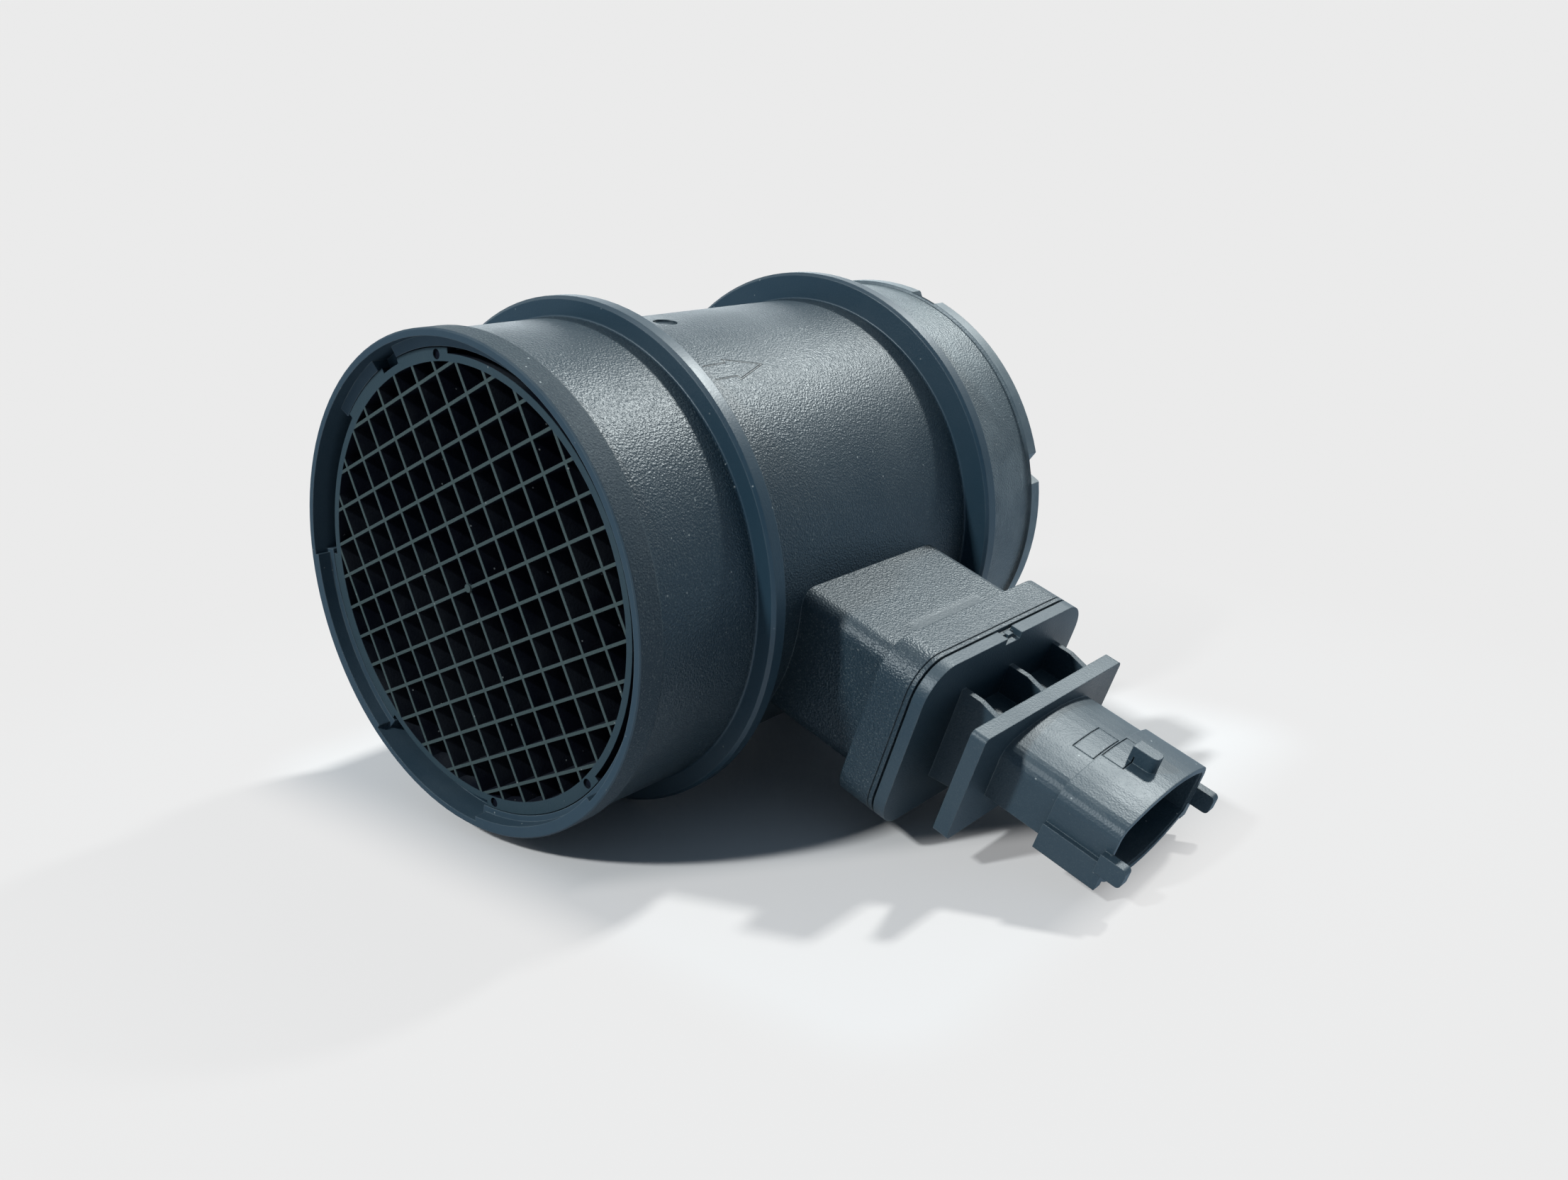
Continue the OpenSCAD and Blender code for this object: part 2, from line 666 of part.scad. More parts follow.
// Ribs and core between the two plates
module arm_ribs() {
  x0 = sensor_face_x - weld;
  x1 = plate_x + weld;
  for (i = [-1:1]) translate([0, rib_mid + i * rib_pitch + rib_t / 2, 0]) rotate([90, 0, 0])
    linear_extrude(height = rib_t) polygon([[x0, -rib_top], [x1, -rib_top + rib_drop],
      [x1, rib_top - rib_drop], [sensor_face_x + rib_level, rib_top], [x0, rib_top]]);
  translate([x0, rib_mid - rib_pitch, -core_h]) cube([x1 - x0, 2 * rib_pitch, 2 * core_h]);
}

// Pocket of the probe with the ledge that its cover rests on
module covered_pocket(x0, l, w, floor) {
  translate([x0, -w / 2, floor]) cube([l, w, probe_top - floor + over]);
  translate([x0 - cover_ledge, -w / 2 - cover_ledge, probe_top - cover_t])
    cube([l + 2 * cover_ledge, w + 2 * cover_ledge, cover_t + over]);
}

// Cover that fills the recess of a pocket
module pocket_cover(x0, l, w) {
  e = cover_ledge - cover_gap;
  translate([x0 - e, -w / 2 - e, probe_top - cover_t]) cube([l + 2 * e, w + 2 * e, cover_t]);
}

// Place along the tube of contact pin number i
function pin_y(i) = (i - (pin_count - 1) / 2) * pin_pitch;

// Contact pin number i, counted along the tube
module pin_blank(i) {
  translate([pin_root_x, pin_y(i) - pin_w / 2, pin_z - pin_t / 2])
    cube([pin_tip_x - pin_root_x, pin_w, pin_t]);
}

// Flange, ribs, connector, neck and probe, moulded in one
module sensor_carrier() {
  color(plastic) arm() difference() {
    union() {
      across(boss_face_x, boss_face_x + seam_w + weld)
        rounded(boss_flange_w - 2 * seam_d, boss_flange_h - 2 * seam_d, boss_flange_r - seam_d);
      difference() {
        across(boss_face_x + seam_w, sensor_face_x)
          rounded(boss_flange_w, boss_flange_h, boss_flange_r);
        flange_notch();
      }
      arm_ribs();
      connector();
      across(neck_end_x, boss_face_x + seam_w) rounded(neck_w, neck_h, neck_r);
      translate([-probe_tip, -probe_w / 2, -probe_top])
        cube([neck_end_x + probe_tip + weld, probe_w, probe_t]);
    }
    across(socket_x, mouth_x + over)
      polygon(connector_outline(shroud_w, shroud_top, shroud_bottom, -shroud_wall));
    across(mouth_x - socket_step, mouth_x + over)
      polygon(connector_outline(shroud_w, shroud_top, shroud_bottom, socket_step - shroud_wall));
    crown_lines();
    difference() {
      across(seal_x, seal_x + seal_t + seal_play) rounded(neck_w + 2 * over, neck_h + 2 * over, neck_r);
      across(seal_x - over, seal_x + seal_t + over)
        rounded(neck_w - 2 * seal_depth, neck_h - 2 * seal_depth, neck_r);
    }
    covered_pocket(board_pocket_x, board_pocket_l, board_pocket_w, floor_z);
    bypass_path();
    translate([bypass_end_x - over, -holder_w / 2 - fit, floor_z])
      cube([board_pocket_x - bypass_end_x + 2 * over, holder_w + 2 * fit, holder_h + fit]);
    for (i = [0:pin_count - 1]) pin_blank(i);
    for (s = [0, 1]) lead_hole(s);
  }
}

// Notch in the upper edge of the sensor's flange, with a small nub on its floor
module flange_notch() {
  x0 = boss_face_x + seam_w;
  z0 = boss_flange_h / 2 - flange_notch_d;
  difference() {
    translate([x0 - over, flange_notch_y - flange_notch_w / 2, z0])
      cube([sensor_flange_t + 2 * over, flange_notch_w, flange_notch_d + over]);
    translate([x0 - over, flange_notch_y, z0 - over])
      cube([sensor_flange_t / 2 + over, flange_notch_w / 3, over + flange_notch_d / 2]);
  }
}

// Bypass duct: pocket with a dividing wall, inlet in the leading face, outlet in the tip
module bypass_path() {
  difference() {
    covered_pocket(bypass_pocket_x, bypass_pocket_l, board_pocket_w, floor_z);
    translate([bypass_pocket_x + divider_x, -board_pocket_w / 2 - fit, floor_z - over])
      cube([divider_t, board_pocket_w + fit - divider_gap, probe_top - cover_t - floor_z + over]);
  }
  translate([bypass_pocket_x + over, -probe_w / 2 - over, floor_z + port_rise])
    cube([port_w, probe_w / 2 - board_pocket_w / 2 + 2 * over, port_h]);
  translate([-probe_tip - over, outlet_y, floor_z + port_rise])
    cube([bypass_pocket_x + probe_tip + 2 * over, port_w, port_h]);
}

// Blind hole for one temperature lead
module lead_hole(s) {
  translate([lead_x(s), -probe_w / 2 - over, lead_rise - probe_top]) rotate([-90, 0, 0])
    cylinder(r = lead_r, h = over + lead_seat, $fn = small_fn);
}

// Place of a temperature lead along the arm
function lead_x(s) = board_pocket_x + lead_place + s * lead_pitch;

// Seal ring in the groove of the neck
module neck_seal() {
  color([0.06, 0.06, 0.07]) arm() difference() {
    across(seal_x + seal_play / 2, seal_x + seal_play / 2 + seal_t)
      rounded(neck_w + 2 * neck_gap, neck_h + 2 * neck_gap, neck_r + neck_gap);
    across(seal_x, seal_x + seal_t + over)
      rounded(neck_w - 2 * seal_depth, neck_h - 2 * seal_depth, neck_r);
  }
}

// Cover of the bypass duct
module bypass_cover() {
  color(plastic) arm() pocket_cover(bypass_pocket_x, bypass_pocket_l, board_pocket_w);
}

// Cover of the electronics pocket
module electronics_cover() {
  color(plastic) arm() pocket_cover(board_pocket_x, board_pocket_l, board_pocket_w);
}

// Metal plate on the floor of the electronics pocket
module base_plate() {
  color([0.75, 0.76, 0.78]) arm() translate([base_x, -board_pocket_w / 2 + weld, floor_z])
    cube([base_l, board_pocket_w - 2 * weld, base_t]);
}

// Ceramic board on the base plate
module hybrid_board() {
  color([0.85, 0.86, 0.82]) arm()
    translate([board_x, -board_w / 2, base_top]) cube([board_l, board_w, board_t]);
}

// Control chip in the middle of the board
module control_chip() {
  color([0.15, 0.15, 0.16]) arm()
    translate([board_x + board_l / 2 - chip_w / 2, -chip_w / 2, board_top])
      cube([chip_w, chip_w, chip_h]);
}

// Rows of chip capacitors on both sides of the control chip
module chip_capacitors() {
  color([0.65, 0.52, 0.38]) arm()
    for (i = [0:3], s = [-1, 1])
      translate([board_x + board_l / 2 + (i - 1.5) * cap_pitch - cap_l / 2,
        s * (chip_w / 2 + cap_gap + cap_w / 2) - cap_w / 2, board_top]) cube([cap_l, cap_w, cap_h]);
}

// Block of height h that fills the sensing chip's seat in the holder
module sense_seat(h) {
  translate([holder_x + over, -sense_w / 2, holder_top - sense_t]) cube([sense_l, sense_w, h]);
}

// Holder that carries the sensing chip from the electronics pocket into the bypass duct
module sensor_holder() {
  color([0.2, 0.2, 0.22]) arm() difference() {
    translate([holder_x, -holder_w / 2, floor_z])
      cube([holder_end_x - holder_x, holder_w, holder_h]);
    sense_seat(sense_t + over);
  }
}

// Sensing chip, flush in its holder
module sensor_chip() {
  color([0.45, 0.42, 0.5]) arm() sense_seat(sense_t);
}

// One contact pin
module contact_pin(i) {
  color([0.78, 0.77, 0.72]) arm() pin_blank(i - 1);
}

// Bond wire from a foot at x0 on height z0 over a loop to a foot at x1 on height z1
module bond_wire(x0, z0, x1, z1, y) {
  loop_z = max(z0, z1) + bond_rise;
  translate([x0, y - bond_w / 2, loop_z]) cube([x1 - x0 + bond_w, bond_w, bond_w]);
  translate([x0, y - bond_w / 2, z0]) cube([bond_w, bond_w, loop_z - z0 + bond_w / 2]);
  translate([x1, y - bond_w / 2, z1]) cube([bond_w, bond_w, loop_z - z1 + bond_w / 2]);
}

// Bond wires from the pins down to the board
module pin_bond_wires() {
  color(bond_metal) arm() for (i = [0:pin_count - 1])
    bond_wire(board_x + board_l - bond_inset - bond_w, board_top, pin_root_x + bond_inset,
      pin_z + pin_t / 2, pin_y(i));
}

// Bond wires from the holder to the board
module sensor_bond_wires() {
  color(bond_metal) arm() for (i = [-1:1])
    bond_wire(holder_end_x - bond_inset - bond_w, holder_top, board_x + bond_inset, board_top,
      i * bond_pitch);
}

// Bead of the intake air temperature sensor
module thermistor_bead() {
  color([0.2, 0.12, 0.08]) arm() difference() {
    translate([lead_x(0.5), -probe_w / 2 - bead_reach, lead_rise - probe_top])
      sphere(r = bead_r, $fn = small_fn);
    for (s = [0, 1]) thermistor_wire(s);
  }
}

// Straight lead from the probe into the bead
module thermistor_wire(s) {
  translate([lead_x(s), -probe_w / 2 - bead_reach, lead_rise - probe_top])
    rotate([-90, 0, 0]) cylinder(r = lead_r, h = bead_reach + lead_seat, $fn = small_fn);
}

// One temperature lead
module thermistor_lead(s) {
  color([0.8, 0.8, 0.8]) arm() thermistor_wire(s - 1);
}

tube_housing();
inlet_grid();
sensor_carrier();
neck_seal();
bypass_cover();
electronics_cover();
base_plate();
hybrid_board();
control_chip();
chip_capacitors();
sensor_holder();
sensor_chip();
contact_pin(1);  // contact_pin_1
contact_pin(2);  // contact_pin_2
contact_pin(3);  // contact_pin_3
contact_pin(4);  // contact_pin_4
pin_bond_wires();
sensor_bond_wires();
thermistor_bead();
thermistor_lead(1);  // thermistor_lead_1
thermistor_lead(2);  // thermistor_lead_2
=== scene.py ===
import json
import logging
import math
from dataclasses import dataclass
from enum import Enum

import bmesh
import bpy
from mathutils import Matrix, Vector


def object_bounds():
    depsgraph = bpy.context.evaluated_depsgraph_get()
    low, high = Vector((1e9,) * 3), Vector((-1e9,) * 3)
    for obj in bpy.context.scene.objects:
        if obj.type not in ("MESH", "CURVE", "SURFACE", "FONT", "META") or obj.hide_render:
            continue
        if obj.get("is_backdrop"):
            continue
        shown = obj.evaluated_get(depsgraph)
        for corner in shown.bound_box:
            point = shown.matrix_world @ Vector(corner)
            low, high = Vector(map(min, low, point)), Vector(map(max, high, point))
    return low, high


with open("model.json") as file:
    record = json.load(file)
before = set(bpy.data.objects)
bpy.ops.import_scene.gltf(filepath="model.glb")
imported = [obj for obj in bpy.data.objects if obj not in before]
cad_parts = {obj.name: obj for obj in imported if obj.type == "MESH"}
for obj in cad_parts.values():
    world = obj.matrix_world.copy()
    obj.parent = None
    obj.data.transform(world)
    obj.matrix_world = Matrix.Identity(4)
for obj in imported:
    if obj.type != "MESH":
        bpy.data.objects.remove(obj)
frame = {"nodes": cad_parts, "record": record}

log = logging.getLogger("mass_airflow_sensor")
MM = 0.001
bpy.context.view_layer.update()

Colour = tuple[float, float, float]
Direction = tuple[float, float, float]
Span = tuple[float, float]
Output = bpy.types.NodeSocket

DUST: Colour = (0.24, 0.26, 0.26)
SPECK: Colour = (0.6, 0.62, 0.6)
# Near-black painted shade for the sunk lines of marks.
SUNK_PAINTED_SHADE: Colour = (0.001, 0.003, 0.005)


class Ray(Enum):
    """Outputs of the Light Path node that see the pale background."""

    CAMERA = "Is Camera Ray"
    GLOSSY = "Is Glossy Ray"
    TRANSMISSION = "Is Transmission Ray"


class Skin(Enum):
    """How the mould left a plastic surface, as the strength of its grain."""

    SPARK_ERODED = 1.0
    SATIN = 0.35
    SMOOTH = 0.12


@dataclass(frozen=True)
class Cloud:
    """Noise in features per metre, and where it is cut to a soft mask."""

    scale: float
    detail: float
    roughness: float
    cut: Span


@dataclass(frozen=True)
class Stroke:
    """Straight stroke on the barrel laid out flat: start and step, across and along the tube, in millimetres."""

    across: float
    along: float
    step_across: float
    step_along: float


class Nodes:
    """Short calls that place and join the nodes of one tree."""

    def __init__(self, tree: bpy.types.NodeTree) -> None:
        """Takes over an empty tree.

        Args:
            tree: the node tree to fill.
        """
        self.tree = tree

    def add(self, kind: str, **settings: object) -> bpy.types.Node:
        """Places a node and sets its properties.

        Args:
            kind: the node's type name.
            settings: properties of the node, by name.

        Returns:
            The new node.
        """
        node = self.tree.nodes.new(kind)
        for name, value in settings.items():
            setattr(node, name, value)
        return node

    def feed(self, node: bpy.types.Node, **sockets: object) -> bpy.types.Node:
        """Sets or joins inputs; an underscore in a name stands for a space.

        Args:
            node: the node whose inputs are fed.
            sockets: a plain value or another node's output, by input name.

        Returns:
            The same node.
        """
        for name, value in sockets.items():
            self.put(node.inputs[name.replace("_", " ")], value)
        return node

    def put(self, socket: bpy.types.NodeSocket, value: object) -> None:
        """Sets one input to a plain value, or joins an output to it.

        Args:
            socket: the input.
            value: a number, a colour or an output.
        """
        if isinstance(value, bpy.types.NodeSocket):
            self.tree.links.new(value, socket)
        elif isinstance(value, tuple) and len(value) == 3 and socket.type == "RGBA":
            socket.default_value = (*value, 1.0)
        else:
            socket.default_value = value

    def calc(self, operation: str, first: object, second: object = 0.0, clamp: bool = False) -> Output:
        """Places a Math node.

        Args:
            operation: the node's operation.
            first: the first term.
            second: the second term.
            clamp: whether the result stays between 0 and 1.

        Returns:
            The result's output.
        """
        node = self.add("ShaderNodeMath", operation=operation, use_clamp=clamp)
        self.put(node.inputs[0], first)
        self.put(node.inputs[1], second)
        return node.outputs[0]

    def ramp(self, value: object, low: float, high: float, start: float = 0.0, end: float = 1.0) -> Output:
        """Maps a value smoothly from low..high to start..end.

        Args:
            value: the value to map.
            low: where the step begins.
            high: where the step ends.
            start: the result up to low.
            end: the result from high.

        Returns:
            The result's output.
        """
        node = self.add("ShaderNodeMapRange", interpolation_type="SMOOTHSTEP")
        self.put(node.inputs["Value"], value)
        for name, number in (("From Min", low), ("From Max", high), ("To Min", start), ("To Max", end)):
            self.put(node.inputs[name], number)
        return node.outputs["Result"]

    def blend(self, factor: object, first: object, second: object) -> Output:
        """Mixes two colours.

        Args:
            factor: the share of the second colour.
            first: the colour at 0.
            second: the colour at 1.

        Returns:
            The mixed colour's output.
        """
        node = self.add("ShaderNodeMix", data_type="RGBA")
        self.put(node.inputs[0], factor)
        self.put(node.inputs[6], first)
        self.put(node.inputs[7], second)
        return node.outputs[2]

    def product(self, *terms: object) -> Output:
        """Multiplies several values.

        Args:
            terms: the values.

        Returns:
            The product's output.
        """
        result = terms[0]
        for term in terms[1:]:
            result = self.calc("MULTIPLY", result, term)
        return result

    def total(self, *terms: object) -> Output:
        """Adds several values, clamped to 0 and 1.

        Args:
            terms: the values.

        Returns:
            The sum's output.
        """
        result = terms[0]
        for term in terms[1:]:
            result = self.calc("ADD", result, term, True)
        return result

    def split(self, vector: object) -> tuple[Output, ...]:
        """Takes a vector apart.

        Args:
            vector: the vector's output.

        Returns:
            The outputs X, Y and Z.
        """
        node = self.add("ShaderNodeSeparateXYZ")
        self.put(node.inputs[0], vector)
        return tuple(node.outputs)

    def dot(self, first: object, second: object) -> Output:
        """Places the dot product of two vectors.

        Args:
            first: a vector.
            second: another vector.

        Returns:
            The product's output.
        """
        node = self.add("ShaderNodeVectorMath", operation="DOT_PRODUCT")
        self.put(node.inputs[0], first)
        self.put(node.inputs[1], second)
        return node.outputs["Value"]

    def axis_distance(self, place: object) -> Output:
        """Measures how far a point is from the tube's axis.

        Args:
            place: the Object coordinates.

        Returns:
            The distance's output.
        """
        x, _, z = self.split(place)
        return self.calc("SQRT", self.calc("ADD", self.product(x, x), self.product(z, z)))

    def stretched(self, vector: object, scale: Direction) -> Output:
        """Scales a vector by axis.

        Args:
            vector: the vector's output.
            scale: factor by axis.

        Returns:
            The scaled vector's output.
        """
        node = self.add("ShaderNodeMapping")
        self.feed(node, Vector=vector, Scale=scale)
        return node.outputs[0]

    def noise(self, vector: object, scale: object, detail: float, roughness: float = 0.5) -> Output:
        """Places a Noise Texture.

        Args:
            vector: where the noise is read.
            scale: features per metre.
            detail: octaves.
            roughness: weight of the fine octaves.

        Returns:
            The noise's output, about 0.5 on average.
        """
        node = self.add("ShaderNodeTexNoise")
        self.feed(node, Vector=vector, Scale=scale, Detail=detail, Roughness=roughness)
        return node.outputs["Fac"]

    def clouded(self, vector: object, cloud: Cloud, start: float = 0.0, end: float = 1.0) -> Output:
        """Places a noise and cuts it to a soft mask.

        Args:
            vector: where the noise is read.
            cloud: the noise and its cut.
            start: the result where the noise is low.
            end: the result where it is high.

        Returns:
            The mask's output.
        """
        noise = self.noise(vector, cloud.scale, cloud.detail, cloud.roughness)
        return self.ramp(noise, *cloud.cut, start, end)


@dataclass(frozen=True)
class GrainShape:
    """Pits of the mould's grain, their fine noise and the pale flecks, which are partly painted glints, as factors of
    the grain's density.
    """

    smoothness: float = 0.6
    pit_height: float = 0.7
    fine_density: float = 0.8
    fine_detail: float = 2.0
    fine_roughness: float = 0.6
    fine_height: float = 0.9
    fleck_and_glint_density: float = 1.1
    fleck_and_glint_cut: Span = (0.58, 0.7)


@dataclass(frozen=True)
class DustShape:
    """Dust by how far a surface faces up, its noise, and how dense and rare the specks are."""

    facing: Span = (-0.3, 0.9)
    least: float = 0.15
    detail: float = 5.0
    roughness: float = 0.62
    cut: Span = (0.38, 0.68)
    speck_density: float = 9.0
    speck_cut: Span = (0.05, 0.13)
    speck_chance: float = 0.84


class Effects:
    """Shader node groups that more than one finish uses, each built once."""

    def __init__(self) -> None:
        """Builds the groups."""
        self.grain = self._grain(GrainShape())
        self.dust = self._dust(DustShape())
        self.band = self._band()
        self.stroke = self._stroke()

    @staticmethod
    def _group(name: str, inputs: dict[str, float | None],
               outputs: tuple[str, ...]) -> tuple[Nodes, object, bpy.types.Node]:
        """Starts a group with its sockets.

        Args:
            name: the group's name.
            inputs: default by name, or None for a vector.
            outputs: names of the value outputs.

        Returns:
            The group's nodes, the outputs of its input node, and its output node.
        """
        tree = bpy.data.node_groups.new(name, "ShaderNodeTree")
        for label, default in inputs.items():
            kind = "NodeSocketVector" if default is None else "NodeSocketFloat"
            socket = tree.interface.new_socket(label, in_out="INPUT", socket_type=kind)
            if default is not None:
                socket.default_value = default
        for label in outputs:
            tree.interface.new_socket(label, in_out="OUTPUT", socket_type="NodeSocketFloat")
        nodes = Nodes(tree)
        return nodes, nodes.add("NodeGroupInput").outputs, nodes.add("NodeGroupOutput")

    def _grain(self, shape: GrainShape) -> bpy.types.NodeTree:
        """Pitted surface of a spark-eroded mould.

        Args:
            shape: the grain's numbers.

        Returns:
            The group: Vector, Size per metre; Height, and the mask of pale flecks that are partly painted glints.
        """
        nodes, given, result = self._group("spark_grain", {"Vector": None, "Size": 2400.0}, ("Height", "Fleck"))
        place, size = given["Vector"], given["Size"]
        pits = nodes.add("ShaderNodeTexVoronoi", feature="SMOOTH_F1")
        nodes.feed(pits, Vector=place, Scale=size, Smoothness=shape.smoothness)
        fine = nodes.noise(place, nodes.product(size, shape.fine_density), shape.fine_detail, shape.fine_roughness)
        height = nodes.calc("ADD", nodes.product(pits.outputs["Distance"], shape.pit_height),
                            nodes.product(fine, shape.fine_height))
        fleck_and_glint = nodes.noise(place, nodes.product(size, shape.fleck_and_glint_density), 1.0)
        nodes.feed(result, Height=height, Fleck=nodes.ramp(fleck_and_glint, *shape.fleck_and_glint_cut))
        return nodes.tree

    def _dust(self, shape: DustShape) -> bpy.types.NodeTree:
        """Thin film of dust, mostly on what faces up.

        Args:
            shape: the dust's numbers.

        Returns:
            The group: Vector, Scale, Amount; Mask and Specks.
        """
        nodes, given, result = self._group(
            "dust_film", {"Vector": None, "Scale": 90.0, "Amount": 0.5}, ("Mask", "Specks"))
        place, scale = given["Vector"], given["Scale"]
        _, _, normal_z = nodes.split(nodes.add("ShaderNodeNewGeometry").outputs["Normal"])
        up = nodes.ramp(normal_z, *shape.facing, shape.least, 1.0)
        film = nodes.ramp(nodes.noise(place, scale, shape.detail, shape.roughness), *shape.cut)
        cells = nodes.add("ShaderNodeTexVoronoi", feature="F1")
        nodes.feed(cells, Vector=place, Scale=nodes.product(scale, shape.speck_density))
        dot = nodes.ramp(cells.outputs["Distance"], *shape.speck_cut, 1.0, 0.0)
        chance = nodes.add("ShaderNodeSeparateColor")
        nodes.feed(chance, Color=cells.outputs["Color"])
        rare = nodes.calc("GREATER_THAN", chance.outputs["Red"], shape.speck_chance)
        nodes.feed(result, Mask=nodes.product(film, up, given["Amount"]), Specks=nodes.product(dot, rare, up))
        return nodes.tree

    def _band(self) -> bpy.types.NodeTree:
        """Soft-edged band between two values.

        Returns:
            The group: Value, Low, High, Soft; Mask.
        """
        nodes, given, result = self._group(
            "band_mask", {"Value": 0.0, "Low": 0.0, "High": 1.0, "Soft": 0.0005}, ("Mask",))
        value, low, high, soft = (given[name] for name in ("Value", "Low", "High", "Soft"))
        rise = nodes.calc("DIVIDE", nodes.calc("SUBTRACT", value, low), soft, True)
        fall = nodes.calc("DIVIDE", nodes.calc("SUBTRACT", high, value), soft, True)
        nodes.feed(result, Mask=nodes.product(rise, fall))
        return nodes.tree

    def _stroke(self) -> bpy.types.NodeTree:
        """Distance from a straight stroke on a surface laid out flat.

        Returns:
            The group: Across, Along, Start Across, Start Along, Step Across, Step Along; Distance.
        """
        names = ("Across", "Along", "Start Across", "Start Along", "Step Across", "Step Along")
        nodes, given, result = self._group("stroke_distance", dict.fromkeys(names, 0.0), ("Distance",))
        step_across, step_along = given["Step Across"], given["Step Along"]
        across = nodes.calc("SUBTRACT", given["Across"], given["Start Across"])
        along = nodes.calc("SUBTRACT", given["Along"], given["Start Along"])
        reach = nodes.calc("ADD", nodes.product(across, step_across), nodes.product(along, step_along))
        square = nodes.calc("ADD", nodes.product(step_across, step_across), nodes.product(step_along, step_along))
        share = nodes.calc("DIVIDE", reach, square, True)
        off_across = nodes.calc("SUBTRACT", across, nodes.product(share, step_across))
        off_along = nodes.calc("SUBTRACT", along, nodes.product(share, step_along))
        far = nodes.calc("ADD", nodes.product(off_across, off_across), nodes.product(off_along, off_along))
        nodes.feed(result, Distance=nodes.calc("SQRT", far))
        return nodes.tree


@dataclass(frozen=True)
class PlasticFinish:
    """Moulded black plastic: grain of the mould, worn edges, dust and specks; lengths in metres."""

    name: str
    base: Colour
    pale: Colour
    roughness: float
    skin: Skin
    dust: float
    wear: float = 0.5
    worn_colour: Colour = (0.16, 0.19, 0.2)
    specular: float = 0.58
    edge_round: float = 0.00025
    grain_size: float = 3000.0
    grain_relief: float = 0.0001
    polished_relief: float = 0.15
    fleck_and_glint_share: float = 0.7
    dust_scale: float = 70.0
    dust_dullness: float = 0.3
    speck_share: float = 0.7
    mark_depth: float = 0.00025
    sheen: Cloud = Cloud(45.0, 4.0, 0.6, (0.3, 0.7))
    sheen_spread: Span = (-0.03, 0.05)
    edge_bend: Span = (0.84, 0.985)
    edge_wear: Cloud = Cloud(160.0, 4.0, 0.65, (0.35, 0.65))
    least_edge_wear: float = 0.35

    def bare(self, nodes: Nodes, place: object, effects: Effects) -> object:
        """Tells where the mould was polished instead of grained.

        Args:
            nodes: the material's nodes; not used here.
            place: the Object coordinates; not used here.
            effects: the shared node groups; not used here.

        Returns:
            A mask, 1 where the surface is polished.
        """
        return 0.0

    def tinted(self, nodes: Nodes, place: object, colour: object, effects: Effects) -> object:
        """Changes the colour from place to place; this plain version leaves it as it is.

        Args:
            nodes: the material's nodes; not used here.
            place: the Object coordinates; not used here.
            colour: the plastic's colour so far.
            effects: the shared node groups; not used here.

        Returns:
            The colour's output.
        """
        return colour

    def roughened(self, nodes: Nodes, place: object) -> object:
        """Tells where the surface is duller than elsewhere.

        Args:
            nodes: the material's nodes; not used here.
            place: the Object coordinates; not used here.

        Returns:
            What is added to the roughness.
        """
        return 0.0

    def marks(self, nodes: Nodes, place: object, effects: Effects) -> object:
        """Finds the sunk marks of the mould.

        Args:
            nodes: the material's nodes; not used here.
            place: the Object coordinates; not used here.
            effects: the shared node groups; not used here.

        Returns:
            A mask, 1 in a mark, or None where there are none.
        """
        return None

    def worn_edge(self, nodes: Nodes, place: object, bevel: bpy.types.Node) -> Output:
        """Finds the edges that handling has rubbed pale.

        Args:
            nodes: the material's nodes.
            place: the Object coordinates.
            bevel: the Bevel node that rounds the edges.

        Returns:
            The mask's output.
        """
        flat = nodes.add("ShaderNodeNewGeometry").outputs["Normal"]
        edge = nodes.ramp(nodes.dot(bevel.outputs["Normal"], flat), *self.edge_bend, 1.0, 0.0)
        return nodes.product(edge, nodes.clouded(place, self.edge_wear, self.least_edge_wear, 1.0), self.wear)

    def material(self, effects: Effects) -> bpy.types.Material:
        """Builds the material.

        Args:
            effects: the shared node groups.

        Returns:
            The finished material.
        """
        made = bpy.data.materials.new(self.name)
        made.use_nodes = True
        nodes = Nodes(made.node_tree)
        shader = made.node_tree.nodes["Principled BSDF"]
        place = nodes.add("ShaderNodeTexCoord").outputs["Object"]
        grain = nodes.add("ShaderNodeGroup", node_tree=effects.grain)
        nodes.feed(grain, Vector=place, Size=self.grain_size)
        dust = nodes.add("ShaderNodeGroup", node_tree=effects.dust)
        nodes.feed(dust, Vector=place, Scale=self.dust_scale, Amount=self.dust)
        bevel = nodes.add("ShaderNodeBevel", samples=4)
        nodes.feed(bevel, Radius=self.edge_round)
        grained = nodes.calc("SUBTRACT", 1.0, self.bare(nodes, place, effects), True)
        marks = self.marks(nodes, place, effects)

        # Pale flecks of the grain, which are partly painted glints of its sparkle.
        fleck_and_glint = nodes.product(grain.outputs["Fleck"], grained, self.fleck_and_glint_share * self.skin.value)
        tint = self.tinted(nodes, place, nodes.blend(fleck_and_glint, self.base, self.pale), effects)
        tint = nodes.blend(self.worn_edge(nodes, place, bevel), tint, self.worn_colour)
        tint = nodes.blend(dust.outputs["Mask"], tint, DUST)
        tint = nodes.blend(nodes.product(dust.outputs["Specks"], self.speck_share), tint, SPECK)
        # The sunk lines of the arrow are painted near-black: painted shade in them.
        if marks is not None:
            tint = nodes.blend(marks, tint, SUNK_PAINTED_SHADE)
        nodes.put(shader.inputs["Base Color"], tint)

        smoother, duller = (self.roughness + change for change in self.sheen_spread)
        rough = nodes.clouded(place, self.sheen, smoother, duller)
        rough = nodes.calc("ADD", rough, nodes.product(dust.outputs["Mask"], self.dust_dullness))
        rough = nodes.calc("ADD", rough, self.roughened(nodes, place))
        nodes.put(shader.inputs["Roughness"], rough)
        shader.inputs["Specular IOR Level"].default_value = self.specular

